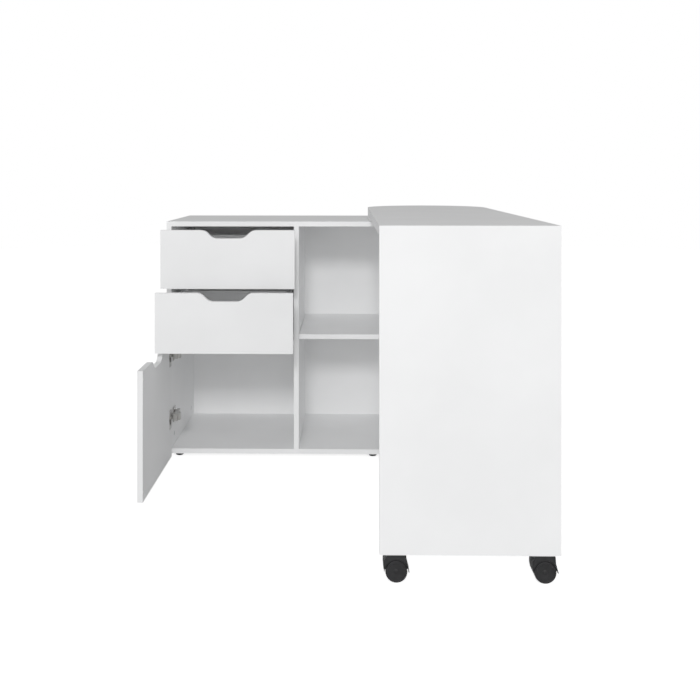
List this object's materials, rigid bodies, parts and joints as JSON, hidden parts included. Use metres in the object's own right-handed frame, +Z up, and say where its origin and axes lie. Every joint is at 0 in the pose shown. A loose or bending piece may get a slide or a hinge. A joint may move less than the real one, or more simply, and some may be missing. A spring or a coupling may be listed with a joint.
{
  "type": "sewing table",
  "caption": "White sewing table: low cabinet with two drawers, a door and open shelves, and a desk on castors that swivels on the cabinet's top",
  "frame": {"origin": "on the floor, under the middle of the object's box", "axes": "+X to the right along the cabinet's fronts, +Y from the desk's leg panel to the cabinet's back, +Z up"},
  "size_m": [1.02, 1.285, 0.77],
  "materials": {
    "white_board": "white melamine board with a fine texture and white edge band",
    "white_steel": "white painted sheet steel",
    "white_plastic": "white moulded nylon",
    "black_plastic": "black moulded plastic",
    "black_steel": "black painted steel",
    "nickel_steel": "nickel-plated pressed steel",
    "zinc_steel": "bright zinc-plated steel",
    "clear_rubber": "clear soft bumper",
    "beech": "plain beech dowel"
  },
  "bodies": {
    "cabinet": {"cabinet_top": "white_board", "cabinet_bottom": "white_board", "left_side": "white_board", "right_side": "white_board", "divider": "white_board", "drawer_shelf": "white_board", "bay_shelf": "white_board", "back_panel": "white_board", "shelf_pins": "zinc_steel", "cam_locks": "zinc_steel", "cam_bolts": "zinc_steel", "dowels": "beech", "cabinet_screws": "zinc_steel", "feet": "black_plastic", "hinge_plates": "nickel_steel", "hinge_arms": "nickel_steel", "upper_cabinet_rails": "white_steel", "lower_cabinet_rails": "white_steel", "pivot_pin": "zinc_steel", "pivot_screws": "zinc_steel"},
    "door": {"door_panel": "white_board", "hinge_cups": "nickel_steel", "hinge_pins": "zinc_steel", "cup_screws": "zinc_steel", "door_bumpers": "clear_rubber"},
    "upper_drawer": {"upper_front": "white_board", "upper_left_side": "white_board", "upper_right_side": "white_board", "upper_back": "white_board", "upper_bottom": "white_board", "upper_drawer_rails": "white_steel", "upper_fixings": "zinc_steel"},
    "lower_drawer": {"lower_front": "white_board", "lower_left_side": "white_board", "lower_right_side": "white_board", "lower_back": "white_board", "lower_bottom": "white_board", "lower_drawer_rails": "white_steel", "lower_fixings": "zinc_steel"},
    "upper_front_rollers": {"upper_cabinet_rollers": "white_plastic"},
    "upper_rear_rollers": {"upper_drawer_rollers": "white_plastic"},
    "lower_front_rollers": {"lower_cabinet_rollers": "white_plastic"},
    "lower_rear_rollers": {"lower_drawer_rollers": "white_plastic"},
    "desk": {"table_top": "white_board", "end_panel": "white_board", "swivel_spacer": "white_board", "pivot_bush": "white_plastic", "glide_pads": "white_plastic", "castor_batten": "white_board", "corner_brackets": "white_steel", "desk_screws": "zinc_steel", "castor_plates": "black_steel"},
    "left_castor": {"left_castor_hood": "black_plastic", "left_castor_axle": "zinc_steel"},
    "right_castor": {"right_castor_hood": "black_plastic", "right_castor_axle": "zinc_steel"},
    "left_front_wheel": {"left_castor_front_wheel": "black_plastic"},
    "left_rear_wheel": {"left_castor_rear_wheel": "black_plastic"},
    "right_front_wheel": {"right_castor_front_wheel": "black_plastic"},
    "right_rear_wheel": {"right_castor_rear_wheel": "black_plastic"}
  },
  "joints": [
    {"name": "desk_swivel", "type": "hinge", "parent": "cabinet", "child": "desk", "pos_m": [0.315, 0.4475, 0.748], "axis": [0, 0, 1], "range_deg": [-90, 90]},
    {"name": "door_hinge", "type": "hinge", "parent": "cabinet", "child": "door", "pos_m": [-0.503, 0.2095, 0.223], "axis": [0, 0, 1], "range_deg": [-20, 90]},
    {"name": "upper_slide", "type": "slide", "parent": "cabinet", "child": "upper_drawer", "axis": [0, -1, 0], "range_m": [-0.086, 0.174]},
    {"name": "lower_slide", "type": "slide", "parent": "cabinet", "child": "lower_drawer", "axis": [0, -1, 0], "range_m": [-0.167, 0.093]},
    {"name": "upper_front_roller_spin", "type": "hinge", "parent": "cabinet", "child": "upper_front_rollers", "pos_m": [-0.3045, 0.2395, 0.5565], "axis": [1, 0, 0], "range_deg": [-660, 1335]},
    {"name": "upper_rear_roller_spin", "type": "hinge", "parent": "upper_drawer", "child": "upper_rear_rollers", "pos_m": [-0.3045, 0.47, 0.5558], "axis": [1, 0, 0], "range_deg": [-660, 1335]},
    {"name": "lower_front_roller_spin", "type": "hinge", "parent": "cabinet", "child": "lower_front_rollers", "pos_m": [-0.3045, 0.2395, 0.3785], "axis": [1, 0, 0], "range_deg": [-1280, 715]},
    {"name": "lower_rear_roller_spin", "type": "hinge", "parent": "lower_drawer", "child": "lower_rear_rollers", "pos_m": [-0.3045, 0.389, 0.3778], "axis": [1, 0, 0], "range_deg": [-1280, 715]},
    {"name": "left_castor_swivel", "type": "hinge", "parent": "desk", "child": "left_castor", "pos_m": [0.155, -0.6205, 0.059], "axis": [0, 0, 1], "continuous": true},
    {"name": "left_front_wheel_roll", "type": "hinge", "parent": "left_castor", "child": "left_front_wheel", "pos_m": [0.157, -0.6315, 0.024], "axis": [0, 1, 0], "continuous": true},
    {"name": "left_rear_wheel_roll", "type": "hinge", "parent": "left_castor", "child": "left_rear_wheel", "pos_m": [0.157, -0.6095, 0.024], "axis": [0, 1, 0], "continuous": true},
    {"name": "right_castor_swivel", "type": "hinge", "parent": "desk", "child": "right_castor", "pos_m": [0.475, -0.6205, 0.059], "axis": [0, 0, 1], "continuous": true},
    {"name": "right_front_wheel_roll", "type": "hinge", "parent": "right_castor", "child": "right_front_wheel", "pos_m": [0.477, -0.6315, 0.024], "axis": [0, 1, 0], "continuous": true},
    {"name": "right_rear_wheel_roll", "type": "hinge", "parent": "right_castor", "child": "right_rear_wheel", "pos_m": [0.477, -0.6095, 0.024], "axis": [0, 1, 0], "continuous": true}
  ],
  "couplings": [
    {"joint": "upper_front_roller_spin", "follows": "upper_slide", "rad_per_m": 133.33},
    {"joint": "upper_rear_roller_spin", "follows": "upper_slide", "rad_per_m": 133.33},
    {"joint": "lower_front_roller_spin", "follows": "lower_slide", "rad_per_m": 133.33},
    {"joint": "lower_rear_roller_spin", "follows": "lower_slide", "rad_per_m": 133.33}
  ]
}
